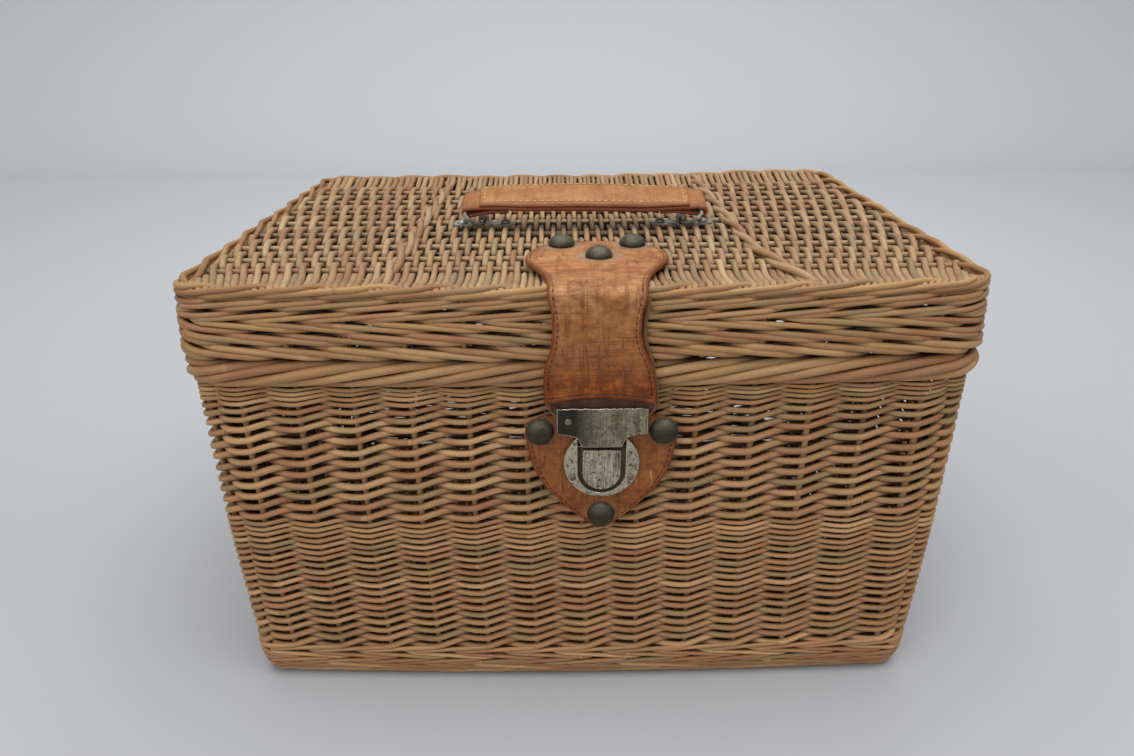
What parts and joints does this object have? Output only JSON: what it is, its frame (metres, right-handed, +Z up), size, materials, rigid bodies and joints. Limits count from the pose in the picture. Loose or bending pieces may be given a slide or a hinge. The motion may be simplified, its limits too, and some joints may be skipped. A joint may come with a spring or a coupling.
{
  "type": "wicker picnic basket",
  "caption": "Rectangular woven willow basket with a hinged box lid, a leather closing strap with hasp and push lock, and a tipping leather handle.",
  "frame": {"origin": "on the ground under the middle of the closed basket's bounding box", "axes": "+Z up, +X to the right along the long side, -Y towards the front with the lock"},
  "size_m": [0.402, 0.3169, 0.2652],
  "materials": {
    "willow_weave": "dry woven willow, matt, tan with grey and reddish strands",
    "willow_rods": "peeled willow rods, faintly glossy, reddish tan",
    "tan_leather": "worn vegetable tanned leather with crease lines and stains",
    "dark_leather": "dark brown leather lining, dry",
    "worn_nickel": "worn nickel plate with rust spots and scratches",
    "dull_steel": "dull grey steel",
    "dark_bronze": "dark bronzed dome nails, low sheen"
  },
  "bodies": {
    "basket": {"foot_wale": "willow_weave", "base_weave": "willow_weave", "siding_lower": "willow_weave", "siding_upper": "willow_weave", "body_border": "willow_rods", "hinge_loop_left": "willow_rods", "hinge_loop_right": "willow_rods", "lock_patch": "tan_leather", "patch_nail_left": "dark_bronze", "patch_nail_right": "dark_bronze", "patch_nail_low": "dark_bronze", "patch_burr_left": "dark_bronze", "patch_burr_right": "dark_bronze", "patch_burr_low": "dark_bronze", "lock_plate": "worn_nickel", "lock_case": "worn_nickel", "lock_spring": "worn_nickel", "lock_rivet_left": "worn_nickel", "lock_rivet_right": "worn_nickel"},
    "button": {"lock_button": "worn_nickel"},
    "lid": {"lid_skirt": "willow_weave", "lid_edge_front": "willow_rods", "lid_edge_right": "willow_rods", "lid_edge_back": "willow_rods", "lid_edge_left": "willow_rods", "lid_panel_left": "willow_weave", "lid_panel_middle": "willow_weave", "lid_panel_right": "willow_weave", "lid_rib_left": "willow_rods", "lid_rib_right": "willow_rods", "lid_hinge_rod": "willow_rods", "strap_anchor": "tan_leather", "strap_nail_left": "dark_bronze", "strap_nail_middle": "dark_bronze", "strap_nail_right": "dark_bronze", "strap_burr_left": "dark_bronze", "strap_burr_middle": "dark_bronze", "strap_burr_right": "dark_bronze", "handle_saddle_left": "dull_steel", "handle_saddle_right": "dull_steel", "saddle_rivet_1": "dull_steel", "saddle_rivet_2": "dull_steel", "saddle_rivet_3": "dull_steel", "saddle_rivet_4": "dull_steel"},
    "strap": {"strap_leather": "tan_leather", "strap_lining": "dark_leather", "hasp_plate": "worn_nickel", "hasp_rivet_left": "worn_nickel", "hasp_rivet_right": "worn_nickel"},
    "handle": {"handle_ring_left": "dull_steel", "handle_ring_right": "dull_steel", "grip_base": "tan_leather", "grip_top": "tan_leather"}
  },
  "joints": [
    {"name": "lid_hinge", "type": "hinge", "parent": "basket", "child": "lid", "pos_m": [0, 0.15025, 0.2096], "axis": [-1, 0, 0], "range_deg": [0, 105]},
    {"name": "strap_fold", "type": "hinge", "parent": "lid", "child": "strap", "pos_m": [0.009, -0.15695, 0.2424], "axis": [-1, 0, 0], "range_deg": [0, 100]},
    {"name": "handle_tip", "type": "hinge", "parent": "lid", "child": "handle", "pos_m": [0.003, -0.01705, 0.2509], "axis": [-1, 0, 0], "range_deg": [0, 36]},
    {"name": "button_press", "type": "slide", "parent": "basket", "child": "button", "axis": [0, 0, -1], "range_m": [0, 0.0014], "stiffness_N_per_m": 1500, "deforming": ["lock_spring"]}
  ]
}
